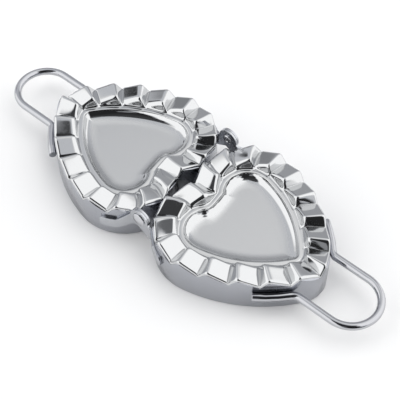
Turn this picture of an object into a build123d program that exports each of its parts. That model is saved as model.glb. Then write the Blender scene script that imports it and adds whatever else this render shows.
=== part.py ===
"""Heart-shaped empanada press: two pleated sheet-metal halves on a riveted hinge.

The press lies open and flat on a table. X runs from one handle to the other, Y is the hinge
axis and Z is up. The origin is on the table, midway between the halves. The right half (+X)
is described here; the left half is the same set of pressings turned half a turn about Z.
Every outline of a half is the heart of its floor, moved outwards by an offset.
All sizes are in millimetres.
"""

import os
from math import acos, asin, atan2, cos, degrees, hypot, radians, sin, sqrt

from build123d import *

# ---------------------------------------------------------------- the heart of the floor
tip_centre_x = 59.5          # centre of the small round at the heart's point
tip_radius = 0.9
lobe_centre_x = 24.7         # centres of the two lobes lie at +/- lobe_centre_y
lobe_centre_y = 13.4
lobe_radius = 8.9
side_radius = 56.1           # long flank between lobe and point
cleft_radius = 12.1          # hollow between the lobes, at the floor
cleft_radius_least = 3.5     # the hollow never gets tighter than this further out
tip_tightening = 0.24        # share by which the point's round lags the offset past the ledge

# ---------------------------------------------------------------- the pressed sheet
sheet = 0.8                  # thickness of the stamped sheet
floor_height = 11.2          # top of the tray's floor above the table
floor_lap = 0.2              # how far the wall's foot runs into the floor
floor_round = 1.2            # between floor and tray wall
wall_foot = 0.9              # where the wall's slope would meet the floor
wall_spread = 2.6            # how far out the tray wall has leaned at its top
ledge_height = 14.7          # smooth ring round the tray
ledge_width = 1.7
ledge_round = 0.7            # where the tray wall turns over into the ledge
ledge_lap = 0.9              # how far the ledge runs on under the pleats' slope
slope_width = 3.0            # from the ledge up to the pleats
pleat_width = 7.2            # flat part of the pleats
rim_width = 0.8              # turned-down outer rim
rim_drop = 1.2
valley_height = 16.2
peak_height = 19.3
pleat_count = 18
narrow_share = 0.30          # share of a pitch that the steep side of a pleat takes

# ---------------------------------------------------------------- the cutter skirt
skirt_wall = 0.8
weld_gap = 0.05              # between pieces that are welded face to face

# ---------------------------------------------------------------- the wire handle
wire_radius = 1.75
wire_height = 10.5
loop_centre_x = 90.3
loop_radius = 13.2           # of the wire's centre line
handle_bend_radius = 4.0
handle_leg_length = 16.6     # stretch that is welded along the skirt
wire_end_chamfer = 0.3

# ---------------------------------------------------------------- the riveted hinge
pleat_clearance = 0.5        # left between the pleats when the press is shut
ear_sheet = 1.0
ear_radius = 5.0
ear_layer_gap = 0.1          # running gap between the overlapping ears
ear_outer_face = 30.9        # distance of the outermost ear face from the middle
ear_bend_radius = 1.5
ear_leg_width = 5.5
ear_leg_bottom = 6.2
ear_leg_reach = 18.0         # x where the welded leg ends
ear_corner_radius = 1.8
ear_neck_drop = 0.8          # the neck stays this far below the hinge line
rivet_radius = 1.5
rivet_clearance = 0.05
rivet_head_radius = 3.2
rivet_head_height = 1.2
rivet_head_edge = 0.35       # height of the head's straight edge
rivet_dome_radius = 7.0
rivet_collar_radius = 2.3    # rolled-over end on the inside
rivet_collar_height = 0.6
rivet_hollow_radius = 1.1
rivet_hollow_depth = 1.8

# ---------------------------------------------------------------- worked out from the above
ledge_offset = wall_spread + ledge_width
shoulder_offset = ledge_offset + slope_width
crease_offset = shoulder_offset + pleat_width
rim_offset = crease_offset + rim_width
skirt_offset = rim_offset
hinge_height = (valley_height + peak_height) / 2 + pleat_clearance / 2
leg_offset = skirt_offset + weld_gap

# centre of a long flank: it touches the point's round and the lobe from inside
reach_to_tip = side_radius - tip_radius
reach_to_lobe = side_radius - lobe_radius
tip_to_lobe = hypot(tip_centre_x - lobe_centre_x, lobe_centre_y)
lobe_bearing = atan2(lobe_centre_y, lobe_centre_x - tip_centre_x)
flank_bearing = lobe_bearing + acos(
    (reach_to_tip**2 + tip_to_lobe**2 - reach_to_lobe**2) / (2 * reach_to_tip * tip_to_lobe)
)
side_centre = (
    tip_centre_x + reach_to_tip * cos(flank_bearing),
    reach_to_tip * sin(flank_bearing),
)
lobe_start_angle = degrees(
    atan2(lobe_centre_y - side_centre[1], lobe_centre_x - side_centre[0])
)


def heart_arcs(offset):
    """Centre, radius, start angle and sweep of the heart's arcs, ccw from its point."""
    hollow = max(cleft_radius - offset, cleft_radius_least)
    lobe = lobe_radius + offset
    flank = side_radius + offset
    tip = tip_radius + offset - tip_tightening * max(offset - ledge_offset, 0)
    hollow_x = lobe_centre_x - sqrt((lobe + hollow) ** 2 - lobe_centre_y**2)
    cleft_angle = degrees(asin(lobe_centre_y / (lobe + hollow)))
    side_x, side_y = side_centre
    tip_x = side_x + sqrt((flank - tip) ** 2 - side_y**2)
    tip_half_angle = degrees(atan2(-side_y, tip_x - side_x))
    flank_sweep = lobe_start_angle - tip_half_angle
    lobe_sweep = 180 + cleft_angle - lobe_start_angle
    return [
        ((tip_x, 0), tip, 0, tip_half_angle),
        ((side_x, side_y), flank, tip_half_angle, flank_sweep),
        ((lobe_centre_x, lobe_centre_y), lobe, lobe_start_angle, lobe_sweep),
        ((hollow_x, 0), hollow, cleft_angle, -2 * cleft_angle),
        ((lobe_centre_x, -lobe_centre_y), lobe, 180 - cleft_angle, lobe_sweep),
        ((side_x, -side_y), flank, -lobe_start_angle, flank_sweep),
        ((tip_x, 0), tip, -tip_half_angle, tip_half_angle),
    ]


def heart(offset, mode=Mode.ADD):
    """Face of the heart moved outwards by an offset, drawn in the current sketch."""
    with BuildLine() as outline:
        for centre, radius, start, sweep_angle in heart_arcs(offset):
            CenterArc(centre, radius, start, sweep_angle)
    make_face(outline.edges(), mode=mode)


def station_at(distance):
    """Arc number and share of that arc at a distance along the pleats' outer crease."""
    for number, (_, radius, _, sweep_angle) in enumerate(heart_arcs(crease_offset)):
        length = radius * radians(abs(sweep_angle))
        if distance <= length:
            return number, distance / length
        distance -= length
    return 0, 0.0


def heart_point(offset, station):
    """Point on the heart moved outwards, at the same arc and share as the station."""
    number, share = station
    (x, y), radius, start, sweep_angle = heart_arcs(offset)[number]
    angle = radians(start + share * sweep_angle)
    return x + radius * cos(angle), y + radius * sin(angle)


def pleat_corners():
    """Station and height of every fold, each valley followed by the peak it rises to."""
    crease_length = sum(
        radius * radians(abs(sweep_angle))
        for _, radius, _, sweep_angle in heart_arcs(crease_offset)
    )
    pitch = crease_length / pleat_count
    half_rise = narrow_share * pitch / 2
    corners = []
    for number in range(pleat_count):
        middle = number * pitch
        corners.append((station_at((middle - half_rise) % crease_length), valley_height))
        corners.append((station_at(middle + half_rise), peak_height))
    return corners


def pleat_section(offset, first, second, low, high):
    """Upright four-sided section through one face of a pleat, at one offset.

    low and high give the bottom and top of the section at a fold of a given height.
    """
    start = Vector(*heart_point(offset, first[0]))
    end = Vector(*heart_point(offset, second[0]))
    along = (end - start).normalized()
    across = Vector(along.Y, -along.X)
    width = (end - start).length
    with BuildSketch(Plane(origin=start, x_dir=along, z_dir=across)) as section:
        with BuildLine():
            Polyline(
                (0, low(first[1])),
                (width, low(second[1])),
                (width, high(second[1])),
                (0, high(first[1])),
                close=True,
            )
        make_face()
    return section.sketch


def pleat_ring(sections, mode=Mode.ADD):
    """Closed ring of pleats, one ruled block for each face of a pleat."""
    corners = pleat_corners()
    blocks = []
    for first, second in zip(corners, corners[1:] + corners[:1]):
        faces = [
            pleat_section(offset, first, second, low, high) for offset, low, high in sections
        ]
        blocks.append(loft(faces, ruled=True, mode=Mode.PRIVATE))
    add(blocks, mode=mode)


# ======================================================================= pleated trays
with BuildPart() as right_pleated_tray:
    with BuildSketch(Plane.XY.offset(floor_height - sheet)):
        heart(0)
    extrude(amount=sheet)
    # tray wall and ledge: the sheet's middle line, carried round the heart
    with BuildLine() as floor_edge:
        for arc_centre, arc_radius, arc_start, arc_sweep in heart_arcs(0):
            CenterArc(arc_centre, arc_radius, arc_start, arc_sweep)
    run = floor_edge.wires()[0]
    outwards = Vector((run % 0).Y, -(run % 0).X)
    with BuildSketch(Plane(origin=run @ 0, x_dir=outwards, z_dir=(run % 0) * -1)):
        with BuildLine():
            FilletPolyline(
                (-floor_lap, floor_height - sheet / 2),
                (wall_foot, floor_height - sheet / 2),
                (wall_spread, ledge_height - sheet / 2),
                (ledge_offset + ledge_lap, ledge_height - sheet / 2),
                radius=[floor_round, ledge_round],
            )
        trace(line_width=sheet)
    sweep(path=run)
    pleat_ring(
        [
            (ledge_offset, lambda z: ledge_height - sheet, lambda z: ledge_height),
            (shoulder_offset, lambda z: z - sheet, lambda z: z),
            (crease_offset, lambda z: z - sheet, lambda z: z),
            (rim_offset, lambda z: z - rim_drop - sheet, lambda z: z - rim_drop),
        ]
    )

# ======================================================================= cutter skirts
with BuildPart() as right_cutter_skirt:
    with BuildSketch():
        heart(skirt_offset)
        heart(skirt_offset - skirt_wall, mode=Mode.SUBTRACT)
    extrude(amount=peak_height)
    # the upper edge follows the underside of the pleats
    seat_drop = sheet + weld_gap
    pleat_ring(
        [
            (crease_offset - rim_width, lambda z: z - seat_drop, lambda z: z + peak_height),
            (crease_offset, lambda z: z - seat_drop, lambda z: z + peak_height),
            (
                rim_offset + rim_width,
                lambda z: z - seat_drop - 2 * rim_drop,
                lambda z: z + peak_height,
            ),
        ],
        mode=Mode.SUBTRACT,
    )

# ======================================================================= wire handles
leg_line_radius = side_radius + leg_offset + wire_radius
handle_bend_y = loop_radius + handle_bend_radius
handle_bend_x = side_centre[0] + sqrt(
    (leg_line_radius + handle_bend_radius) ** 2 - (handle_bend_y - side_centre[1]) ** 2
)
handle_bearing = degrees(
    atan2(handle_bend_y - side_centre[1], handle_bend_x - side_centre[0])
)
handle_leg_sweep = degrees(handle_leg_length / leg_line_radius)
handle_bend_sweep = 90 - handle_bearing

with BuildPart() as right_wire_handle:
    with BuildLine(Plane.XY.offset(wire_height)) as wire:
        CenterArc(
            side_centre, leg_line_radius, handle_bearing + handle_leg_sweep, -handle_leg_sweep
        )
        CenterArc(
            (handle_bend_x, handle_bend_y),
            handle_bend_radius,
            handle_bearing + 180,
            handle_bend_sweep,
        )
        Line((handle_bend_x, loop_radius), (loop_centre_x, loop_radius))
        CenterArc((loop_centre_x, 0), loop_radius, 90, -180)
        Line((loop_centre_x, -loop_radius), (handle_bend_x, -loop_radius))
        CenterArc(
            (handle_bend_x, -handle_bend_y), handle_bend_radius, 90, handle_bend_sweep
        )
        CenterArc(
            (side_centre[0], -side_centre[1]), leg_line_radius, -handle_bearing, -handle_leg_sweep
        )
    centre_line = wire.wires()[0]
    with BuildSketch(Plane(origin=centre_line @ 0, z_dir=centre_line % 0)):
        Circle(wire_radius)
    sweep(path=centre_line)
    chamfer(faces().filter_by(GeomType.PLANE).edges(), wire_end_chamfer)

# ======================================================================= hinge ears
outer_layer = ear_outer_face - ear_sheet / 2
inner_layer = outer_layer - ear_sheet - ear_layer_gap
ear_line_radius = lobe_radius + leg_offset + ear_sheet / 2


def bent_ear(layer):
    """Strip that runs along the far lobe's skirt and bends off to the hinge line."""
    bend_y = layer + ear_bend_radius
    bend_x = lobe_centre_x - sqrt(
        (ear_line_radius + ear_bend_radius) ** 2 - (bend_y - lobe_centre_y) ** 2
    )
    bearing = degrees(atan2(bend_y - lobe_centre_y, bend_x - lobe_centre_x))
    end_bearing = degrees(acos((ear_leg_reach - lobe_centre_x) / ear_line_radius))
    with BuildSketch() as plan:
        with BuildLine():
            Line((-ear_radius, layer), (bend_x, layer))
            CenterArc((bend_x, bend_y), ear_bend_radius, -90, bearing - 90)
            CenterArc(
                (lobe_centre_x, lobe_centre_y), ear_line_radius, bearing, end_bearing - bearing
            )
        trace(line_width=ear_sheet)
    extrude(plan.sketch, amount=hinge_height + ear_radius)

    # side view: a round eye, a neck below the hinge line and a welded leg
    leg_start = ear_radius + ear_leg_width
    leg_top = ear_leg_bottom + ear_leg_width
    drop = hinge_height - ear_leg_bottom
    to_heel = hypot(leg_start, drop)
    heel_bearing = -atan2(drop, leg_start)
    touch = heel_bearing - acos(ear_radius / to_heel)
    with BuildSketch(Plane.XZ) as side_view:
        with BuildLine():
            Polyline(
                (0, hinge_height),
                (ear_radius * cos(touch), hinge_height + ear_radius * sin(touch)),
                (leg_start, ear_leg_bottom),
                (ear_leg_reach, ear_leg_bottom),
                (ear_leg_reach, leg_top),
                (leg_start, leg_top),
                (ear_radius, hinge_height - ear_neck_drop),
                close=True,
            )
        make_face()
        leg_end = side_view.vertices().group_by(Axis.X)[-1]
        fillet(leg_end, ear_corner_radius)
        with Locations((0, hinge_height)):
            Circle(ear_radius)
            Circle(rivet_radius + rivet_clearance, mode=Mode.SUBTRACT)
    extrude(side_view.sketch, amount=2 * ear_outer_face, both=True, mode=Mode.INTERSECT)


with BuildPart() as right_far_ear:
    bent_ear(inner_layer)

with BuildPart() as right_near_ear:
    bent_ear(outer_layer)
    mirror(about=Plane.XZ, mode=Mode.REPLACE)

# ======================================================================= hinge rivets
head_seat = ear_outer_face + ear_layer_gap / 2
collar_seat = inner_layer - ear_sheet / 2 - ear_layer_gap / 2
collar_end = collar_seat - rivet_collar_height
head_top = head_seat + rivet_head_height
head_edge = head_seat + rivet_head_edge

with BuildPart() as far_rivet:
    with BuildSketch(Plane.XY.offset(hinge_height)):
        with BuildLine():
            Line((0, collar_end + rivet_hollow_depth), (0, head_top))
            RadiusArc((0, head_top), (rivet_head_radius, head_edge), rivet_dome_radius)
            Polyline(
                (rivet_head_radius, head_edge),
                (rivet_head_radius, head_seat),
                (rivet_radius, head_seat),
                (rivet_radius, collar_seat),
                (rivet_collar_radius, collar_seat),
            )
            RadiusArc(
                (rivet_collar_radius, collar_seat),
                (rivet_hollow_radius, collar_end),
                rivet_collar_radius - rivet_hollow_radius,
            )
            Polyline(
                (rivet_hollow_radius, collar_end),
                (rivet_hollow_radius, collar_end + rivet_hollow_depth),
                (0, collar_end + rivet_hollow_depth),
            )
        make_face()
    revolve(axis=Axis((0, 0, hinge_height), (0, 1, 0)))

# ======================================================================= the other half
with BuildPart() as left_pleated_tray:
    add(right_pleated_tray.part.rotate(Axis.Z, 180))

with BuildPart() as left_cutter_skirt:
    add(right_cutter_skirt.part.rotate(Axis.Z, 180))

with BuildPart() as left_wire_handle:
    add(right_wire_handle.part.rotate(Axis.Z, 180))

with BuildPart() as left_near_ear:
    add(right_far_ear.part.rotate(Axis.Z, 180))

with BuildPart() as left_far_ear:
    add(right_near_ear.part.rotate(Axis.Z, 180))

with BuildPart() as near_rivet:
    add(far_rivet.part.rotate(Axis.Z, 180))

# ======================================================================= write the pieces
right_pleated_tray.part.label = "right_pleated_tray"
right_cutter_skirt.part.label = "right_cutter_skirt"
right_wire_handle.part.label = "right_wire_handle"
right_near_ear.part.label = "right_near_ear"
right_far_ear.part.label = "right_far_ear"
left_pleated_tray.part.label = "left_pleated_tray"
left_cutter_skirt.part.label = "left_cutter_skirt"
left_wire_handle.part.label = "left_wire_handle"
left_near_ear.part.label = "left_near_ear"
left_far_ear.part.label = "left_far_ear"
near_rivet.part.label = "near_rivet"
far_rivet.part.label = "far_rivet"

os.makedirs("parts", exist_ok=True)
for piece in (
    right_pleated_tray,
    right_cutter_skirt,
    right_wire_handle,
    right_near_ear,
    right_far_ear,
    left_pleated_tray,
    left_cutter_skirt,
    left_wire_handle,
    left_near_ear,
    left_far_ear,
    near_rivet,
    far_rivet,
):
    export_step(piece.part, f"parts/{piece.part.label}.step")
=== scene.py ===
"""Visual model of a heart-shaped empanada press: two pleated stainless halves on a riveted hinge.

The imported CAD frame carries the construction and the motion. Each piece here stands for one CAD
node, is built where that node is and rides on its body. Class fields are in millimetres and
degrees unless they say otherwise, and finished meshes are in metres.
"""

import logging
import math
from abc import ABC, abstractmethod
from dataclasses import dataclass, field
from enum import Enum
from functools import lru_cache
from typing import ClassVar

import bmesh
import bpy
from mathutils import Matrix, Vector


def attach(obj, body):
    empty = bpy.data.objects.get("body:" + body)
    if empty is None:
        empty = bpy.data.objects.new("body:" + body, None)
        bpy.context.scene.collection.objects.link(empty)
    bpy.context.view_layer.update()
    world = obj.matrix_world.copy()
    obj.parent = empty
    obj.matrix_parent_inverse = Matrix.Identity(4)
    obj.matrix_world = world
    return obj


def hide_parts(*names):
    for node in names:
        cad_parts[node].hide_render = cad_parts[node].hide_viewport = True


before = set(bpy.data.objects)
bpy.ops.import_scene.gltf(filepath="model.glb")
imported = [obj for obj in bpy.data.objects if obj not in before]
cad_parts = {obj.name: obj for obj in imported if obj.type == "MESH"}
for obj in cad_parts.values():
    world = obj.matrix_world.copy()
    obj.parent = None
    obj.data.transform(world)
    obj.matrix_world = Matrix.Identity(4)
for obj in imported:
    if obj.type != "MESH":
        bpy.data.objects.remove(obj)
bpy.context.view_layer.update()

MM = 0.001  # metres in a millimetre
BLASTED = "blasted"  # attribute: how far a point of the sheet is blasted, from 0 to 1
STATION = "station"  # attribute: number of the radial line that a point lies on
SRGB_KNEE, SRGB_SLOPE = 0.04045, 12.92  # the straight foot of the sRGB curve
SRGB_SHIFT, SRGB_POWER = 0.055, 2.4  # the rest of it
NOISE_LOW, NOISE_HIGH = 0.3, 0.7  # values between which nearly all of a noise lies
GRAIN_DETAIL, WAVE_DETAIL = 3.0, 1.0  # octaves of the fine and of the coarse noise

Element = bmesh.types.BMVert | bmesh.types.BMEdge | bmesh.types.BMFace
Finishes = dict[str, bpy.types.Material]
log = logging.getLogger("empanada_press")


class Half(Enum):
    """The two halves of the press: the left one is the right one turned half a turn about Z."""

    RIGHT = "right"
    LEFT = "left"

    @property
    def body(self) -> str:
        """Name of the CAD body that this half moves with."""
        return f"{self.value}_half"

    @property
    def turn(self) -> Matrix:
        """Turn that brings a piece of the right half to this half."""
        return Matrix.Rotation(math.pi if self is Half.LEFT else 0.0, 4, "Z")


# ------------------------------------------------------------------------------ materials


def linear(hex_colour: str) -> tuple[float, float, float, float]:
    """Turns an sRGB hex colour into the linear colour that a socket takes.

    Args:
        hex_colour: six hex digits after a hash sign.

    Returns:
        Red, green, blue and alpha.
    """
    channels = []
    for first in (1, 3, 5):
        value = int(hex_colour[first : first + 2], 16) / 255
        straight = value / SRGB_SLOPE
        curved = ((value + SRGB_SHIFT) / (1 + SRGB_SHIFT)) ** SRGB_POWER
        channels.append(straight if value <= SRGB_KNEE else curved)
    return (*channels, 1.0)


def add_node(
    tree: bpy.types.NodeTree,
    kind: str,
    settings: dict | None = None,
    values: dict | None = None,
    links: dict | None = None,
) -> bpy.types.Node:
    """Adds a node with its settings, socket values and incoming links.

    Args:
        tree: node tree that gets the node.
        kind: Blender's name for the node type.
        settings: node properties by name.
        values: input values by socket name or number.
        links: output sockets by the name or number of the input that they feed.

    Returns:
        The new node.
    """
    node = tree.nodes.new(kind)
    for name, value in (settings or {}).items():
        setattr(node, name, value)
    for socket, value in (values or {}).items():
        node.inputs[socket].default_value = value
    for socket, source in (links or {}).items():
        tree.links.new(source, node.inputs[socket])
    return node


def pattern_scale(size: float) -> float:
    """Noise scale on Object coordinates, in metres, for features of a size in millimetres."""
    return 1.0 / (size * MM)


@dataclass(frozen=True)
class SteelFinish:
    """AISI 304 stainless steel with one of the surfaces that a press shop gives it.

    The grain is the fine mark of the tool, with a size along each axis, and the wave is the slow
    unevenness of the face. Both have a depth. A blasted sheet gets duller where it is blasted.
    """

    name: str
    colour: str
    roughness: float
    roughness_spread: float
    grain_size: tuple[float, float, float]
    grain_depth: float
    wave_size: float
    wave_depth: float
    blasted_roughness: float | None = None

    def material(self) -> bpy.types.Material:
        """Builds the node material.

        Returns:
            A metal whose roughness and relief come from noise on Object coordinates.
        """
        made = bpy.data.materials.new(self.name)
        made.use_nodes = True
        tree = made.node_tree
        shader = tree.nodes["Principled BSDF"]
        shader.inputs["Base Color"].default_value = linear(self.colour)
        shader.inputs["Metallic"].default_value = 1.0
        place = add_node(tree, "ShaderNodeTexCoord").outputs["Object"]
        stretched = add_node(
            tree,
            "ShaderNodeMapping",
            values={"Scale": [pattern_scale(size) for size in self.grain_size]},
            links={"Vector": place},
        )
        grain = add_node(
            tree,
            "ShaderNodeTexNoise",
            values={"Scale": 1.0, "Detail": GRAIN_DETAIL},
            links={"Vector": stretched.outputs["Vector"]},
        )
        wave = add_node(
            tree,
            "ShaderNodeTexNoise",
            values={"Scale": pattern_scale(self.wave_size), "Detail": WAVE_DETAIL},
            links={"Vector": place},
        )
        ripple = add_node(
            tree,
            "ShaderNodeBump",
            values={"Strength": 1.0, "Distance": self.wave_depth * MM},
            links={"Height": wave.outputs["Fac"]},
        )
        relief = add_node(
            tree,
            "ShaderNodeBump",
            values={"Strength": 1.0, "Distance": self.grain_depth * MM},
            links={"Height": grain.outputs["Fac"], "Normal": ripple.outputs["Normal"]},
        )
        tree.links.new(self.dullness(tree, grain.outputs["Fac"]), shader.inputs["Roughness"])
        tree.links.new(relief.outputs["Normal"], shader.inputs["Normal"])
        return made

    def dullness(
        self, tree: bpy.types.NodeTree, grain: bpy.types.NodeSocket
    ) -> bpy.types.NodeSocket:
        """Adds the nodes for the roughness.

        Args:
            tree: node tree of the material.
            grain: noise of the fine marks.

        Returns:
            Roughness that varies with the marks, and is higher where the sheet is blasted.
        """
        polished = add_node(
            tree,
            "ShaderNodeMapRange",
            values={
                "From Min": NOISE_LOW,
                "From Max": NOISE_HIGH,
                "To Min": self.roughness - self.roughness_spread,
                "To Max": self.roughness + self.roughness_spread,
            },
            links={"Value": grain},
        )
        if self.blasted_roughness is None:
            return polished.outputs["Result"]
        blasted = add_node(tree, "ShaderNodeAttribute", settings={"attribute_name": BLASTED})
        duller = add_node(
            tree,
            "ShaderNodeMapRange",
            values={"To Max": self.blasted_roughness - self.roughness},
            links={"Value": blasted.outputs["Fac"]},
        )
        summed = add_node(
            tree,
            "ShaderNodeMath",
            settings={"operation": "ADD"},
            links={0: polished.outputs["Result"], 1: duller.outputs["Result"]},
        )
        return summed.outputs["Value"]


# Bright rolled sheet, deep drawn and buffed: a near mirror with the faint waves of the press. The
# tray's floor was blasted in the die, which blurs every reflection there to an even satin.
POLISHED_PRESSING = SteelFinish(
    name="polished_pressing",
    colour="#CACBCC",
    roughness=0.07,
    roughness_spread=0.02,
    grain_size=(1.5, 1.5, 1.5),
    grain_depth=0.0005,
    wave_size=9.0,
    wave_depth=0.01,
    blasted_roughness=0.38,
)
# Strip brushed lengthwise before it was bent into the skirt: fine level lines, soft sheen.
SATIN_BAND = SteelFinish(
    name="satin_band",
    colour="#AEB0B6",
    roughness=0.22,
    roughness_spread=0.04,
    grain_size=(9.0, 9.0, 0.35),
    grain_depth=0.002,
    wave_size=16.0,
    wave_depth=0.02,
)
# Wire drawn bright through a die: mirror-like, with hardly any texture left.
POLISHED_WIRE = SteelFinish(
    name="polished_wire",
    colour="#B9BABE",
    roughness=0.09,
    roughness_spread=0.02,
    grain_size=(1.0, 1.0, 1.0),
    grain_depth=0.0004,
    wave_size=7.0,
    wave_depth=0.004,
)
# Blanked hinge strip, tumbled to take the burrs off: duller, with short random marks.
HINGE_STRIP = SteelFinish(
    name="hinge_strip",
    colour="#BEC0C4",
    roughness=0.22,
    roughness_spread=0.05,
    grain_size=(2.0, 2.0, 0.4),
    grain_depth=0.0012,
    wave_size=6.0,
    wave_depth=0.008,
)
# Headed rivet, bright from the forming tool.
RIVET_STEEL = SteelFinish(
    name="rivet_steel",
    colour="#C9CACD",
    roughness=0.12,
    roughness_spread=0.03,
    grain_size=(0.8, 0.8, 0.8),
    grain_depth=0.0008,
    wave_size=4.0,
    wave_depth=0.003,
)
# Cut end of the wire, torn by the shear: a dull face without reflections.
SHEARED_END = SteelFinish(
    name="sheared_end",
    colour="#8E9196",
    roughness=0.55,
    roughness_spread=0.08,
    grain_size=(0.4, 0.4, 0.4),
    grain_depth=0.02,
    wave_size=2.0,
    wave_depth=0.05,
)
STEELS = (POLISHED_PRESSING, SATIN_BAND, POLISHED_WIRE, HINGE_STRIP, RIVET_STEEL, SHEARED_END)

# ------------------------------------------------------------------------------ outlines


@dataclass(frozen=True)
class Arc:
    """Arc of an outline, run from a start angle by a sweep, ccw where the sweep is positive."""

    centre: tuple[float, float]
    radius: float
    start: float
    sweep: float

    @property
    def length(self) -> float:
        """Length along the arc."""
        return self.radius * math.radians(abs(self.sweep))

    def point(self, share: float) -> Vector:
        """Finds a point of the arc.

        Args:
            share: share of the arc's length before the point.

        Returns:
            The point in the XY plane.
        """
        angle = math.radians(self.start + share * self.sweep)
        x, y = self.centre
        return Vector((x + self.radius * math.cos(angle), y + self.radius * math.sin(angle)))


@dataclass(frozen=True)
class HeartOutline:
    """Heart of the tray's floor and the outlines that run parallel to it, ccw from its tip.

    Further out than parallel_offset the tip's round grows more slowly than the offset, by the
    share tip_tightening, and the cleft's never gets tighter than cleft_radius_least.
    """

    tip_centre_x: float = 59.5
    tip_radius: float = 0.9
    lobe_centre_x: float = 24.7
    lobe_centre_y: float = 13.4
    lobe_radius: float = 8.9
    side_radius: float = 56.1
    cleft_radius: float = 12.1
    cleft_radius_least: float = 3.5
    parallel_offset: float = 4.3
    tip_tightening: float = 0.24
    tip_radius_least: float = 0.3

    @property
    def side_centre(self) -> tuple[float, float]:
        """Centre of the long flank above the X axis, which touches the tip and the lobe.

        Returns:
            Its X and Y.
        """
        to_tip = self.side_radius - self.tip_radius
        to_lobe = self.side_radius - self.lobe_radius
        between = math.hypot(self.tip_centre_x - self.lobe_centre_x, self.lobe_centre_y)
        bearing = math.atan2(self.lobe_centre_y, self.lobe_centre_x - self.tip_centre_x)
        bearing += math.acos((to_tip**2 + between**2 - to_lobe**2) / (2 * to_tip * between))
        return self.tip_centre_x + to_tip * math.cos(bearing), to_tip * math.sin(bearing)

    @lru_cache(maxsize=None)
    def arcs(self, offset: float) -> list[Arc]:
        """Arcs of the heart moved outwards.

        Args:
            offset: distance from the floor's outline.

        Returns:
            Seven arcs that follow each other.
        """
        side_x, side_y = self.side_centre
        lobe_x, lobe_y = self.lobe_centre_x, self.lobe_centre_y
        lobe_angle = math.degrees(math.atan2(lobe_y - side_y, lobe_x - side_x))
        hollow = max(self.cleft_radius - offset, self.cleft_radius_least)
        lobe = self.lobe_radius + offset
        cleft_angle = math.degrees(math.asin(lobe_y / (lobe + hollow)))
        hollow_x = lobe_x - math.sqrt((lobe + hollow) ** 2 - lobe_y**2)
        flank = self.side_radius + offset
        tip = self.tip_radius + offset
        tip -= self.tip_tightening * max(offset - self.parallel_offset, 0.0)
        tip = max(tip, self.tip_radius_least)
        tip_x = side_x + math.sqrt((flank - tip) ** 2 - side_y**2)
        tip_angle = math.degrees(math.atan2(-side_y, tip_x - side_x))
        side_sweep = lobe_angle - tip_angle
        lobe_sweep = 180 + cleft_angle - lobe_angle
        return [
            Arc((tip_x, 0.0), tip, 0, tip_angle),
            Arc((side_x, side_y), flank, tip_angle, side_sweep),
            Arc((lobe_x, lobe_y), lobe, lobe_angle, lobe_sweep),
            Arc((hollow_x, 0), hollow, cleft_angle, -2 * cleft_angle),
            Arc((lobe_x, -lobe_y), lobe, 180 - cleft_angle, lobe_sweep),
            Arc((side_x, -side_y), flank, -lobe_angle, side_sweep),
            Arc((tip_x, 0.0), tip, -tip_angle, tip_angle),
        ]

    @lru_cache(maxsize=None)
    def length(self, offset: float) -> float:
        """Length of the whole outline at an offset."""
        return sum(arc.length for arc in self.arcs(offset))

    def point(self, offset: float, guide: float, distance: float) -> Vector:
        """Point of one outline that lies on the same arc share as a point of a guide outline.

        Args:
            offset: offset of the outline that the point is on.
            guide: offset of the outline that the distance is measured along.
            distance: distance along the guide, ccw from the heart's tip.

        Returns:
            The point in the XY plane.
        """
        distance %= self.length(guide)
        pairs = list(zip(self.arcs(guide), self.arcs(offset)))
        for measured, wanted in pairs:
            if distance <= measured.length:
                return wanted.point(distance / measured.length)
            distance -= measured.length
        return pairs[0][1].point(0.0)


def rounded_section(
    corners: list[tuple[float, float, float]], steps: int
) -> list[tuple[float, float]]:
    """Rounds the corners of a section drawn as straight runs.

    Args:
        corners: across, height and corner radius of each corner; a radius of 0 keeps it.
        steps: segments in each rounded corner.

    Returns:
        Points (across, height) along the rounded section.
    """
    points = []
    for number, (across, height, radius) in enumerate(corners):
        here = Vector((across, height))
        if radius == 0:
            points.append(here)
            continue
        back = (Vector(corners[number - 1][:2]) - here).normalized()
        ahead = (Vector(corners[number + 1][:2]) - here).normalized()
        half_turn = (math.pi - back.angle(ahead)) / 2
        inwards = (back + ahead).normalized()
        centre = here + inwards * (radius / math.cos(half_turn))
        first = here + back * radius * math.tan(half_turn) - centre
        sweep = 2 * half_turn * math.copysign(1.0, first.x * inwards.y - first.y * inwards.x)
        for step in range(steps + 1):
            turned = first.copy()
            turned.rotate(Matrix.Rotation(-sweep * step / steps, 2))
            points.append(centre + turned)
    return [(point.x, point.y) for point in points]


# ------------------------------------------------------------------------------ pieces


def clamp(value: float) -> float:
    """Nearest value from 0 to 1."""
    return min(max(value, 0.0), 1.0)


def only(items: list[Element], kind: type | tuple[type, ...]) -> list[Element]:
    """Picks the vertices, edges or faces out of what a bmesh operator returns.

    Args:
        items: elements of a bmesh.
        kind: class, or classes, of the elements that are wanted.

    Returns:
        These elements, in their order.
    """
    return [item for item in items if isinstance(item, kind)]


def round_edges(
    builder: bmesh.types.BMesh,
    edges: list[bmesh.types.BMEdge],
    radius: float,
    steps: int,
    clamped: bool = False,
) -> None:
    """Rounds edges of a shape.

    Args:
        builder: shape that the edges belong to.
        edges: the edges.
        radius: how far from an edge its round starts.
        steps: strips of faces across the round.
        clamped: whether a round stops before it meets the next one.
    """
    bmesh.ops.bevel(
        builder,
        geom=edges,
        offset=radius,
        offset_type="OFFSET",
        affect="EDGES",
        segments=steps,
        profile=0.5,
        material=-1,
        clamp_overlap=clamped,
    )


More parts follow.
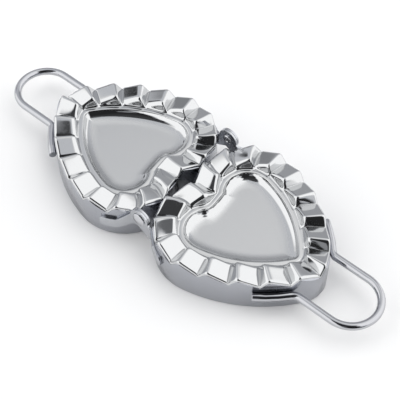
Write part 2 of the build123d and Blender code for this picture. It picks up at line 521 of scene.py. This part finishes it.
def shade_evenly(piece: bpy.types.Object, sharp_from: float) -> None:
    """Shades the rounded edges of a piece so that its flat faces look flat.

    Args:
        piece: object of the piece.
        sharp_from: angle between faces, in degrees, from which their edge looks sharp.
    """
    piece.data.set_sharp_from_angle(angle=math.radians(sharp_from))
    piece.modifiers.new("even shading", "WEIGHTED_NORMAL").keep_sharp = True


def finish_piece(
    name: str,
    builder: bmesh.types.BMesh,
    half: Half,
    finishes: Finishes,
    slot: str,
    stands_for: str,
    placed: bool = False,
) -> bpy.types.Object:
    """Turns a shape in millimetres into a piece that stands for a CAD node.

    Args:
        name: name of the new object.
        builder: shape, as on the right half unless placed; it is freed.
        half: half of the press that the piece moves with.
        finishes: materials by name.
        slot: material slot of the record, which names the finish too.
        stands_for: CAD node that the piece replaces.
        placed: whether the shape already lies where its half is.

    Returns:
        The object, at the origin, riding on its body.
    """
    bmesh.ops.recalc_face_normals(builder, faces=builder.faces)
    for face in builder.faces:
        face.smooth = True
    mesh = bpy.data.meshes.new(name)
    builder.to_mesh(mesh)
    builder.free()
    turn = Matrix.Identity(4) if placed else half.turn
    mesh.transform(turn @ Matrix.Scale(MM, 4))
    mesh.materials.append(finishes[slot])
    piece = bpy.data.objects.new(name, mesh)
    bpy.context.collection.objects.link(piece)
    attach(piece, half.body)
    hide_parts(stands_for)
    return piece


class HalfPiece(ABC):
    """Piece that each half has once, named for its half, as the CAD node it stands for is."""

    name: ClassVar[str]
    node: ClassVar[str]
    slot: ClassVar[str]

    @abstractmethod
    def shape(self) -> bmesh.types.BMesh:
        """Shape of the right half's piece, in millimetres."""

    @abstractmethod
    def dress(self, piece: bpy.types.Object, finishes: Finishes) -> None:
        """Gives the piece what its look needs besides the finish of its slot."""

    def build(self, half: Half, finishes: Finishes) -> bpy.types.Object:
        """Builds and dresses the piece of one half.

        Args:
            half: half of the press that the piece belongs to.
            finishes: materials by name.

        Returns:
            The piece's object.
        """
        name, stands_for = f"{half.value}_{self.name}", f"{half.value}_{self.node}"
        piece = finish_piece(name, self.shape(), half, finishes, self.slot, stands_for)
        self.dress(piece, finishes)
        return piece


@dataclass(frozen=True)
class Station:
    """Radial line of the tray's mesh.

    It crosses a pleat's steep rising face or its long falling one, at a share of that face's
    width, and at a level that is 0 in the valley and 1 at the peak.
    """

    pleat: int
    rising: bool
    share: float
    level: float


@dataclass(frozen=True)
class Ring:
    """Closed line of the tray's mesh round the heart.

    It follows the pleats by its lift, from 0 for a level line to 1, and lies at the given height
    where it doesn't. It runs lower than the surface it belongs to by its drop.
    """

    offset: float
    height: float
    lift: float
    drop: float
    blasted: float = 0.0


@dataclass
class PleatedTray(HalfPiece):
    """Tray and pleated rim, drawn from one sheet.

    Heights are above the table, and offsets and spreads run outwards from the floor's outline.
    """

    name = "tray"
    node = "pleated_tray"
    slot = "polished_pressing"

    outline: HeartOutline = field(default_factory=HeartOutline)
    sheet: float = 0.8

    # Floor, dished towards its edge, and the wall round it.
    floor_height: float = 11.2
    floor_margin: float = 0.4
    dish_offset: float = -3.0
    dish_round: float = 10.0
    wall_foot: float = 1.2
    wall_foot_rise: float = 1.37
    wall_foot_round: float = 4.0
    wall_spread: float = 2.2
    blast_edge: float = -0.4
    blast_fade: float = 2.0

    # Ledge round the tray, and the crease at the pleats' foot.
    ledge_height: float = 14.7
    ledge_round: float = 0.5
    ledge_offset: float = 4.3
    crease_width: float = 0.5
    crease_depth: float = 0.4

    # The pleats from their shoulder to the lip that is turned down at the rim. The tile rings
    # are shares of the way between these two.
    shoulder_offset: float = 5.7
    shoulder_round: float = 2.2
    tile_rings: tuple[float, float] = (0.4, 0.65)
    rim_offset: float = 15.3
    rim_round: float = 1.1
    lip_height: float = 1.35
    lip_edge: float = 0.1

    # The pleats round the heart, counted along the crease offset. A rising face takes a share of
    # the pitch, and less of it towards the tray. Each valley has a rolled edge beside it.
    crease_offset: float = 14.5
    pleat_count: int = 18
    valley_height: float = 15.95
    valley_round: float = 0.12
    peak_height: float = 19.65
    peak_round: float = 1.7
    rise_share: float = 0.27
    rise_share_inside: float = 0.2
    roll_width: float = 0.8
    roll_drop: float = 0.45
    roll_round: float = 0.8

    # Segments across a falling face, in a fold and in a round of the section.
    face_steps: int = 5
    fold_steps: int = 3
    round_steps: int = 4

    @property
    def pitch(self) -> float:
        """Distance from pleat to pleat along the outer crease."""
        return self.outline.length(self.crease_offset) / self.pleat_count

    @property
    def mean_height(self) -> float:
        """Height of the pleats halfway between valley and peak."""
        return (self.valley_height + self.peak_height) / 2

    def fold_height(self, station: Station) -> float:
        """Height of the pleats at a station."""
        return self.valley_height + (self.peak_height - self.valley_height) * station.level

    def face_ends(self, station: Station, rise_share: float) -> tuple[float, float]:
        """Finds where the face that a station crosses starts and ends.

        Args:
            station: radial line of the mesh.
            rise_share: share of the pitch that a rising face takes.

        Returns:
            Distances of the start and the end along the crease offset.
        """
        half_rise = rise_share * self.pitch / 2
        middle = station.pleat * self.pitch
        if station.rising:
            return middle - half_rise, middle + half_rise
        return middle + half_rise, middle + self.pitch - half_rise

    def stations(self) -> list[Station]:
        """Spreads the radial lines of the mesh over the pleats.

        Returns:
            The lines, ccw, close together in the rounded folds and wide apart on the faces.
        """
        rise = self.rise_share * self.pitch
        fall = self.pitch - rise
        depth = self.peak_height - self.valley_height
        corners = [
            (-fall, depth, 0.0),
            (-self.roll_width, depth * self.roll_width / fall, self.roll_round),
            (0.0, -self.roll_drop, self.valley_round),
            (rise, depth, self.peak_round),
            (self.pitch, 0.0, 0.0),
        ]
        folds = rounded_section(corners, self.fold_steps)[1:-1]
        crest = folds[-1][0]
        valley = self.pitch + folds[0][0]
        across = [
            crest + (valley - crest) * step / self.face_steps for step in range(1, self.face_steps)
        ]
        face = [(distance, depth * (self.pitch - distance) / fall) for distance in across]
        lines = []
        for pleat in range(self.pleat_count):
            for distance, height in [*folds, *face]:
                level = height / depth
                if distance < 0:
                    lines.append(Station(pleat - 1, False, 1 + distance / fall, level))
                elif distance <= rise:
                    lines.append(Station(pleat, True, distance / rise, level))
                else:
                    lines.append(Station(pleat, False, (distance - rise) / fall, level))
        return lines

    def section(self) -> list[Vector]:
        """Draws the upper side of the sheet as if the pleats were level.

        Returns:
            Points (offset, height) from the floor out to the lip.
        """
        mean = self.mean_height
        tile = self.rim_offset - self.shoulder_offset
        corners = [
            (-self.outline.lobe_radius, self.floor_height, 0.0),
            (self.dish_offset, self.floor_height, self.dish_round),
            (self.wall_foot, self.floor_height + self.wall_foot_rise, self.wall_foot_round),
            (self.wall_spread, self.ledge_height, self.ledge_round),
            (self.ledge_offset - self.crease_width, self.ledge_height, 0.0),
            (self.ledge_offset, self.ledge_height - self.crease_depth, 0.0),
            (self.shoulder_offset, mean, self.shoulder_round),
            *((self.shoulder_offset + share * tile, mean, 0.0) for share in self.tile_rings),
            (self.rim_offset - 2 * self.rim_round, mean, 0.0),
            (self.rim_offset, mean, self.rim_round),
            (self.rim_offset, mean - self.lip_height + self.lip_edge, 0.0),
            (self.rim_offset, mean - self.lip_height, 0.0),
        ]
        return [Vector(point) for point in rounded_section(corners, self.round_steps)[1:]]

    def rings(self) -> list[Ring]:
        """Turns the section into closed lines, which take on the pleats above the ledge.

        Returns:
            The lines from the floor out to the lip, and back underneath.
        """
        upper = self.section()
        lower = []
        for number, point in enumerate(upper):
            before = upper[max(number - 1, 0)]
            after = upper[min(number + 1, len(upper) - 1)]
            along = (after - before).normalized()
            lower.append(point - Vector((-along.y, along.x)) * self.sheet)
        rise = self.mean_height - self.ledge_height
        made = []
        for side, below in ((upper, 0.0), (lower[::-1], self.sheet)):
            for point in side:
                lift = clamp((point.y + below - self.ledge_height) / rise)
                if point.x > self.shoulder_offset + self.shoulder_round:
                    lift = 1.0
                level = self.ledge_height + rise * lift
                foot = self.ledge_height if lift else level
                blasted = clamp((self.blast_edge - point.x) / self.blast_fade)
                made.append(Ring(point.x, foot, lift, level - point.y, blasted))
        return made

    def place(self, ring: Ring, station: Station) -> Vector:
        """Finds where a ring and a station cross.

        Args:
            ring: closed line of the mesh.
            station: radial line of the mesh.

        Returns:
            The point, on the heart in the tray and on the flat face of a pleat outside it.
        """
        inside = (self.crease_offset - ring.offset) / (self.crease_offset - self.shoulder_offset)
        narrowing = clamp(inside) if ring.lift > 0 else 0.0
        rise_share = self.rise_share + (self.rise_share_inside - self.rise_share) * narrowing
        start, end = self.face_ends(station, rise_share)
        distance = start + (end - start) * station.share
        curved, first, second = (
            self.outline.point(ring.offset, self.crease_offset, along)
            for along in (distance, start, end)
        )
        flat = curved.lerp(first.lerp(second, station.share), ring.lift)
        height = ring.height + (self.fold_height(station) - ring.height) * ring.lift - ring.drop
        return Vector((flat.x, flat.y, height))

    def shape(self) -> bmesh.types.BMesh:
        """Draws the sheet ring by ring out of the floor, round the lip and back below.

        Returns:
            The tray of the right half.
        """
        builder = bmesh.new()
        stations = self.stations()
        rings = self.rings()
        number = builder.verts.layers.int.new(STATION)
        blasted = builder.verts.layers.float.new(BLASTED)
        bmesh.ops.create_circle(builder, cap_ends=True, segments=len(stations), radius=1.0)
        for index, vertex in enumerate(builder.verts):
            vertex[number] = index
            vertex[blasted] = rings[0].blasted
            vertex.co = self.place(rings[0], stations[index])
        caps = list(builder.faces)
        edge_loop = list(builder.edges)
        for ring in rings[1:]:
            grown = bmesh.ops.extrude_edge_only(builder, edges=edge_loop)["geom"]
            edge_loop = only(grown, bmesh.types.BMEdge)
            for vertex in only(grown, bmesh.types.BMVert):
                vertex.co = self.place(ring, stations[vertex[number]])
                vertex[blasted] = ring.blasted
        caps.extend(bmesh.ops.contextual_create(builder, geom=edge_loop)["faces"])
        bmesh.ops.inset_individual(builder, faces=caps, thickness=self.floor_margin)
        bmesh.ops.triangulate(builder, faces=caps)
        return builder

    def dress(self, piece: bpy.types.Object, finishes: Finishes) -> None:
        """Rounds the folds."""
        smooth = piece.modifiers.new("rounded folds", "SUBSURF")
        smooth.levels = smooth.render_levels = 1


@dataclass
class CutterSkirt(HalfPiece):
    """Upright band under the pleats whose lower edge cuts the dough.

    Its top follows the pleats, below the lip outside and below the sheet inside, by a seam.
    """

    name = "skirt"
    node = "cutter_skirt"
    slot = "satin_band"

    tray: PleatedTray
    wall: float = 0.8
    seam: float = 0.15
    edge_round: float = 0.2
    edge_steps: int = 2
    sharp_from: float = 35.0

    def shape(self) -> bmesh.types.BMesh:
        """Draws the band up its outer face, over the top and down inside.

        Returns:
            The skirt of the right half.
        """
        builder = bmesh.new()
        tray = self.tray
        stations = tray.stations()
        number = builder.verts.layers.int.new(STATION)
        bmesh.ops.create_circle(builder, cap_ends=False, segments=len(stations), radius=1.0)
        for index, vertex in enumerate(builder.verts):
            vertex[number] = index
        outside, inside = tray.rim_offset, tray.rim_offset - self.wall
        # Offset of each line, and how far it lies below the pleats, or None on the table.
        lines = [
            (outside, None),
            (outside, tray.lip_height + self.seam),
            (inside, tray.sheet + self.seam),
            (inside, None),
        ]
        moving = list(builder.verts)
        edge_loop = first_loop = list(builder.edges)
        for line_number, (offset, drop) in enumerate(lines):
            if line_number:
                grown = bmesh.ops.extrude_edge_only(builder, edges=edge_loop)["geom"]
                edge_loop = only(grown, bmesh.types.BMEdge)
                moving = only(grown, bmesh.types.BMVert)
            for vertex in moving:
                station = stations[vertex[number]]
                start, end = tray.face_ends(station, tray.rise_share)
                distance = start + (end - start) * station.share
                flat = tray.outline.point(offset, tray.crease_offset, distance)
                height = 0.0 if drop is None else tray.fold_height(station) - drop
                vertex.co = Vector((flat.x, flat.y, height))
        bmesh.ops.bridge_loops(builder, edges=edge_loop + first_loop)
        round_edges(builder, edge_loop + first_loop, self.edge_round, self.edge_steps)
        return builder

    def dress(self, piece: bpy.types.Object, finishes: Finishes) -> None:
        """Keeps the band's folds sharp."""
        piece.data.set_sharp_from_angle(angle=math.radians(self.sharp_from))


@dataclass
class WireHandle(HalfPiece):
    """Finger loop bent from one length of wire, its legs welded along the skirt."""

    name = "handle"
    node = "wire_handle"
    slot = "polished_wire"

    tray: PleatedTray
    wire_radius: float = 1.75
    wire_height: float = 10.5
    weld_gap: float = 0.05
    loop_centre_x: float = 90.3
    loop_radius: float = 13.2
    bend_radius: float = 4.0
    leg_length: float = 16.6
    end_round: float = 0.4
    end_steps: int = 3
    sides: int = 24
    step: float = 4.0
    least_steps: int = 2

    def shape(self) -> bmesh.types.BMesh:
        """Bends a round section along the legs, the bends and the loop.

        Returns:
            The handle of the right half, its two cut ends on the second material.
        """
        side_x, side_y = self.tray.outline.side_centre
        flank_radius = self.tray.outline.side_radius + self.tray.rim_offset
        leg_radius = flank_radius + self.weld_gap + self.wire_radius
        bend_y = self.loop_radius + self.bend_radius
        bend_x = side_x + math.sqrt((leg_radius + self.bend_radius) ** 2 - (bend_y - side_y) ** 2)
        bearing = math.atan2(bend_y - side_y, bend_x - side_x)
        leg_sweep = self.leg_length / leg_radius
        bend_sweep = math.pi / 2 - bearing
        start = bearing + leg_sweep

        builder = bmesh.new()
        bmesh.ops.create_circle(
            builder, cap_ends=True, segments=self.sides, radius=self.wire_radius
        )
        caps = list(builder.faces)
        upright = Matrix.Rotation(start, 4, "Z") @ Matrix.Rotation(math.pi / 2, 4, "X")
        reach = Vector((math.cos(start), math.sin(start), 0)) * leg_radius
        base = Vector((side_x, side_y, self.wire_height)) + reach
        bmesh.ops.transform(
            builder, verts=builder.verts, matrix=Matrix.Translation(base) @ upright
        )
        end = list(builder.verts) + list(builder.edges)
        straight = self.loop_centre_x - bend_x
        # A number is a straight run along X, and a centre with a sweep is a bend.
        runs = [
            ((side_x, side_y), -leg_sweep),
            ((bend_x, bend_y), bend_sweep),
            straight,
            ((self.loop_centre_x, 0.0), -math.pi),
            -straight,
            ((bend_x, -bend_y), bend_sweep),
            ((side_x, -side_y), -leg_sweep),
        ]
        for run in runs:
            if isinstance(run, float):
                edges = only(end, bmesh.types.BMEdge)
                end = bmesh.ops.extrude_edge_only(builder, edges=edges)["geom"]
                verts = only(end, bmesh.types.BMVert)
                bmesh.ops.translate(builder, verts=verts, vec=(run, 0, 0))
            else:
                (x, y), sweep = run
                steps = max(self.least_steps, round(math.degrees(abs(sweep)) / self.step))
                end = bmesh.ops.spin(
                    builder, geom=end, cent=(x, y, 0), axis=(0, 0, 1), angle=sweep, steps=steps
                )["geom_last"]
            end = only(end, (bmesh.types.BMVert, bmesh.types.BMEdge))
        edges = only(end, bmesh.types.BMEdge)
        caps.extend(bmesh.ops.contextual_create(builder, geom=edges)["faces"])
        for cap in caps:
            cap.material_index = 1
        rims = [edge for cap in caps for edge in cap.edges]
        round_edges(builder, rims, self.end_round, self.end_steps)
        return builder

    def dress(self, piece: bpy.types.Object, finishes: Finishes) -> None:
        """Adds the finish of the cut ends."""
        piece.data.materials.append(finishes["sheared_end"])


class Side(Enum):
    """End of the hinge axis: the near one has negative Y."""

    NEAR = "near"
    FAR = "far"


@dataclass
class HingeEar:
    """Blanked strip, bent from the skirt to the hinge: the CAD shape with its edges tumbled."""

    merge_within: float = 0.001
    flat_within: float = 0.5
    edge_from: float = 50.0
    edge_round: float = 0.34
    edge_steps: int = 3
    sharp_from: float = 40.0

    def shape(self, node_name: str) -> bmesh.types.BMesh:
        """Takes the CAD solid and rounds its edges.

        Args:
            node_name: CAD node of the ear.

        Returns:
            The ear, where the node is.
        """
        builder = bmesh.new()
        builder.from_mesh(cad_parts[node_name].data)
        bmesh.ops.scale(builder, verts=builder.verts, vec=(1 / MM, 1 / MM, 1 / MM))
        bmesh.ops.remove_doubles(builder, verts=builder.verts, dist=self.merge_within)
        bmesh.ops.dissolve_limit(
            builder,
            angle_limit=math.radians(self.flat_within),
            verts=builder.verts,
            edges=builder.edges,
        )
        least = math.radians(self.edge_from)
        rims = [edge for edge in builder.edges if edge.calc_face_angle(0.0) > least]
        round_edges(builder, rims, self.edge_round, self.edge_steps, clamped=True)
        bmesh.ops.triangulate(builder, faces=builder.faces)
        return builder

    def build(self, half: Half, side: Side, finishes: Finishes) -> bpy.types.Object:
        """Builds and dresses one ear.

        Args:
            half: half of the press that the ear belongs to.
            side: end of the hinge axis.
            finishes: materials by name.

        Returns:
            The ear's object.
        """
        name = f"{half.value}_{side.value}_hinge_ear"
        stands_for = f"{half.value}_{side.value}_ear"
        shape = self.shape(stands_for)
        piece = finish_piece(name, shape, half, finishes, "hinge_strip", stands_for, placed=True)
        shade_evenly(piece, self.sharp_from)
        return piece


@dataclass
class Rivet:
    """Headed rivet through two ears, hollow at its inner end and rolled over there.

    The seats, the collar's end and the head's edge and top are distances from the middle of the
    press along the hinge axis.
    """

    axis_height: float = 18.0
    shank_radius: float = 1.5
    shank_round: float = 0.05
    head_seat: float = 30.95
    head_radius: float = 3.2
    head_edge: float = 31.35
    head_round: float = 0.2
    head_top: float = 32.15
    seat_round: float = 0.08
    dome_radius: float = 7.0
    dome_inset: float = 0.4
    dome_steps: int = 5
    collar_seat: float = 28.75
    collar_end: float = 28.15
    collar_radius: float = 2.3
    collar_round: float = 0.4
    hollow_radius: float = 1.1
    hollow_depth: float = 1.8
    hollow_round: float = 0.2
    mouth_round: float = 0.45
    round_steps: int = 4
    sides: int = 64
    merge_within: float = 0.002
    sharp_from: float = 40.0

    def profile(self) -> list[tuple[float, float]]:
        """Draws the half section from the hollow's bottom round to the dome's middle.

        Returns:
            Points (radius, distance along the axis).
        """
        bottom = self.collar_end + self.hollow_depth
        corners = [
            (0.0, bottom, 0.0),
            (self.hollow_radius, bottom, self.hollow_round),
            (self.hollow_radius, self.collar_end, self.mouth_round),
            (self.collar_radius, self.collar_end, self.collar_round),
            (self.collar_radius, self.collar_seat, self.seat_round),
            (self.shank_radius, self.collar_seat, self.shank_round),
            (self.shank_radius, self.head_seat, self.shank_round),
            (self.head_radius, self.head_seat, self.seat_round),
            (self.head_radius, self.head_edge, self.head_round),
        ]
        dome_centre = self.head_top - self.dome_radius
        for step in range(self.dome_steps):
            radius = (self.head_radius - self.dome_inset) * (1 - step / self.dome_steps)
            height = dome_centre + math.sqrt(self.dome_radius**2 - radius**2)
            corners.append((radius, height, 0.0))
        corners.append((0.0, self.head_top, 0.0))
        return rounded_section(corners, self.round_steps)

    def shape(self, side: Side) -> bmesh.types.BMesh:
        """Spins the half section round the hinge axis.

        Args:
            side: end of the hinge axis.

        Returns:
            The rivet, where its node is.
        """
        builder = bmesh.new()
        towards = -1 if side is Side.NEAR else 1
        points = [
            builder.verts.new((radius, towards * along, self.axis_height))
            for radius, along in self.profile()
        ]
        line = [builder.edges.new(pair) for pair in zip(points, points[1:])]
        bmesh.ops.spin(
            builder,
            geom=points + line,
            cent=(0, 0, self.axis_height),
            axis=(0, 1, 0),
            angle=2 * math.pi,
            steps=self.sides,
            use_merge=True,
        )
        bmesh.ops.remove_doubles(builder, verts=builder.verts, dist=self.merge_within)
        return builder

    def build(self, side: Side, finishes: Finishes) -> bpy.types.Object:
        """Builds and dresses one rivet, which the left half carries.

        Args:
            side: end of the hinge axis.
            finishes: materials by name.

        Returns:
            The rivet's object.
        """
        name, stands_for = f"{side.value}_headed_rivet", f"{side.value}_rivet"
        shape = self.shape(side)
        piece = finish_piece(
            name, shape, Half.LEFT, finishes, "rivet_steel", stands_for, placed=True
        )
        shade_evenly(piece, self.sharp_from)
        return piece


# ------------------------------------------------------------------------------ studio


def direction(bearing: float, elevation: float) -> Vector:
    """Turns a bearing and an elevation into a unit vector.

    Args:
        bearing: degrees from +X towards +Y.
        elevation: degrees above the floor.

    Returns:
        The vector.
    """
    bearing, elevation = math.radians(bearing), math.radians(elevation)
    level = math.cos(elevation)
    return Vector((level * math.cos(bearing), level * math.sin(bearing), math.sin(elevation)))


@dataclass(frozen=True)
class Softbox:
    """Rectangular lamp that faces the press, sized in metres."""

    name: str
    bearing: float
    elevation: float
    width: float
    height: float
    distance: float
    radiance: float
    mirrored: bool = True

    def build(self) -> None:
        """Adds the lamp, turned towards the origin."""
        away = direction(self.bearing, self.elevation)
        lamp = bpy.data.lights.new(self.name, "AREA")
        lamp.shape = "RECTANGLE"
        lamp.size = self.width
        lamp.size_y = self.height
        lamp.energy = self.radiance * math.pi * self.width * self.height
        placed = bpy.data.objects.new(self.name, lamp)
        bpy.context.collection.objects.link(placed)
        placed.location = away * self.distance
        placed.rotation_mode = "QUATERNION"
        placed.rotation_quaternion = away.to_track_quat("Z", "Y")
        placed.visible_glossy = self.mirrored


@dataclass(frozen=True)
class Panel:
    """Round patch of the room, lit or draped in black, whole in its core and faded at its reach."""

    bearing: float
    elevation: float
    core: float
    reach: float
    radiance: float

    def cover(
        self,
        tree: bpy.types.NodeTree,
        place: bpy.types.NodeSocket,
        under: bpy.types.NodeSocket,
    ) -> bpy.types.NodeSocket:
        """Lays the panel over what the room has so far.

        Args:
            tree: node tree of the world.
            place: direction that the room is looked up in.
            under: radiance of the room without the panel.

        Returns:
            Radiance of the room with the panel.
        """
        towards = add_node(
            tree,
            "ShaderNodeVectorMath",
            settings={"operation": "DOT_PRODUCT"},
            values={1: direction(self.bearing, self.elevation)},
            links={0: place},
        )
        share = add_node(
            tree,
            "ShaderNodeMapRange",
            settings={"interpolation_type": "SMOOTHSTEP"},
            values={
                "From Min": math.cos(math.radians(self.reach)),
                "From Max": math.cos(math.radians(self.core)),
            },
            links={"Value": towards.outputs["Value"]},
        )
        laid = add_node(
            tree,
            "ShaderNodeMix",
            values={"B": self.radiance},
            links={"Factor": share.outputs["Result"], "A": under},
        )
        return laid.outputs["Result"]


@dataclass
class Studio:
    """Pale floor, pale room with lit and black panels, fill lamp and camera.

    The floor's size and the camera's nearest distance are in metres.
    """

    camera_place: tuple[float, float, float] = (196.3, -218.7, 387.8)
    camera_target: tuple[float, float, float] = (4.568, 4.189, 0.7)
    focal_pixels: float = 1064.04
    picture_pixels: float = 400.0
    sensor_width: float = 36.0
    nearest: float = 0.01
    floor_size: float = 20.0
    floor_gap: float = 0.2
    floor_colour: str = "#FCFCFC"
    room_tint: str = "#F8FAFF"
    lit_tint: str = "#FFFFFF"
    room_radiance: float = 0.82
    # Each panel lies over the ones before it.
    panels: tuple[Panel, ...] = (
        # Beyond the press: a bright patch high up, and dim walls near the floor.
        Panel(105.0, 65.0, 5.0, 27.0, 1.12),
        Panel(125.0, 3.0, 28.0, 44.0, 0.52),
        Panel(156.0, 19.5, 5.0, 10.0, 0.36),
        # Windows on the left and on the right.
        Panel(-135.0, 24.0, 34.0, 42.0, 1.5),
        Panel(-145.0, 58.0, 8.0, 13.0, 1.5),
        Panel(-112.0, 12.0, 38.0, 44.0, 1.5),
        Panel(62.0, 15.0, 27.0, 33.0, 1.5),
        Panel(32.0, 43.0, 39.0, 45.0, 1.5),
        # Black cloth round the camera.
        Panel(-52.0, 38.0, 24.0, 30.0, 0.03),
        Panel(-37.0, 3.0, 23.0, 30.0, 0.03),
        Panel(-75.0, 58.0, 15.0, 21.0, 0.05),
        Panel(-50.0, 66.0, 12.0, 17.0, 0.05),
        Panel(-20.0, 75.0, 5.0, 9.0, 0.2),
        Panel(-92.0, 70.0, 12.0, 14.5, 0.07),
        # Two gaps in the cloth, and the dark upright of a door.
        Panel(-61.0, 21.0, 3.0, 8.0, 0.38),
        Panel(-13.0, 25.0, 6.0, 11.0, 0.85),
        Panel(169.5, 27.0, 1.5, 5.5, 0.05),
    )
    lamps: tuple[Softbox, ...] = (
        Softbox("ceiling_fill", 0.0, 90.0, 3.0, 3.0, 2.4, 0.36, mirrored=False),
    )

    def floor(self) -> None:
        """Adds the floor: pale paper that keeps shadows."""
        builder = bmesh.new()
        bmesh.ops.create_grid(builder, x_segments=1, y_segments=1, size=self.floor_size)
        bmesh.ops.translate(builder, verts=builder.verts, vec=(0, 0, -self.floor_gap * MM))
        mesh = bpy.data.meshes.new("studio_floor")
        builder.to_mesh(mesh)
        builder.free()
        paper = bpy.data.materials.new("studio_paper")
        paper.use_nodes = True
        tree = paper.node_tree
        tree.nodes.clear()
        sheet = add_node(
            tree, "ShaderNodeBsdfDiffuse", values={"Color": linear(self.floor_colour)}
        )
        add_node(tree, "ShaderNodeOutputMaterial", links={"Surface": sheet.outputs[0]})
        mesh.materials.append(paper)
        made = bpy.data.objects.new("studio_floor", mesh)
        bpy.context.collection.objects.link(made)

    def room(self) -> None:
        """Sets the world: a pale room with lit panels, and black cloth where it is dark."""
        world = bpy.data.worlds.new("studio_room")
        bpy.context.scene.world = world
        world.use_nodes = True
        tree = world.node_tree
        tree.nodes.clear()
        place = add_node(tree, "ShaderNodeTexCoord").outputs["Generated"]
        walls = add_node(tree, "ShaderNodeValue")
        walls.outputs["Value"].default_value = self.room_radiance
        radiance = walls.outputs["Value"]
        for panel in self.panels:
            radiance = panel.cover(tree, place, radiance)
        # What is no brighter than the walls has their tint, and what is lit turns white.
        tint = add_node(tree, "ShaderNodeValToRGB", links={"Fac": radiance})
        tint.color_ramp.elements[0].color = linear(self.room_tint)
        tint.color_ramp.elements[0].position = self.room_radiance
        tint.color_ramp.elements[1].color = linear(self.lit_tint)
        light = add_node(
            tree,
            "ShaderNodeBackground",
            links={"Color": tint.outputs["Color"], "Strength": radiance},
        )
        add_node(tree, "ShaderNodeOutputWorld", links={"Surface": light.outputs[0]})

    def camera(self) -> None:
        """Adds the camera at the viewing angle and makes it the scene's camera."""
        lens = bpy.data.cameras.new("camera")
        lens.sensor_width = self.sensor_width
        lens.lens = self.focal_pixels / self.picture_pixels * self.sensor_width
        lens.clip_start = self.nearest
        placed = bpy.data.objects.new("camera", lens)
        bpy.context.collection.objects.link(placed)
        placed.location = Vector(self.camera_place) * MM
        looking = (Vector(self.camera_target) - Vector(self.camera_place)).normalized()
        placed.rotation_mode = "QUATERNION"
        placed.rotation_quaternion = looking.to_track_quat("-Z", "Y")
        bpy.context.scene.camera = placed

    def build(self) -> None:
        """Builds the whole studio."""
        self.floor()
        self.room()
        for lamp in self.lamps:
            lamp.build()
        self.camera()
        bpy.context.scene.view_settings.view_transform = "Standard"


def main() -> None:
    """Builds the studio and every piece, half by half."""
    logging.basicConfig(level=logging.INFO, format="%(message)s")
    Studio().build()
    finishes = {steel.name: steel.material() for steel in STEELS}
    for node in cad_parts.values():
        for slot in node.material_slots:
            # A CAD material has its slot's name, and a number behind it where Blender adds one.
            slot.material = finishes[slot.material.name.split(".")[0]]
    tray = PleatedTray()
    pieces = []
    for half in Half:
        for kind in (tray, CutterSkirt(tray), WireHandle(tray)):
            pieces.append(kind.build(half, finishes))
        pieces.extend(HingeEar().build(half, side, finishes) for side in Side)
    pieces.extend(Rivet().build(side, finishes) for side in Side)
    for piece in pieces:
        log.info("%s: %d faces", piece.name, len(piece.data.polygons))


if __name__ == "__main__":
    main()
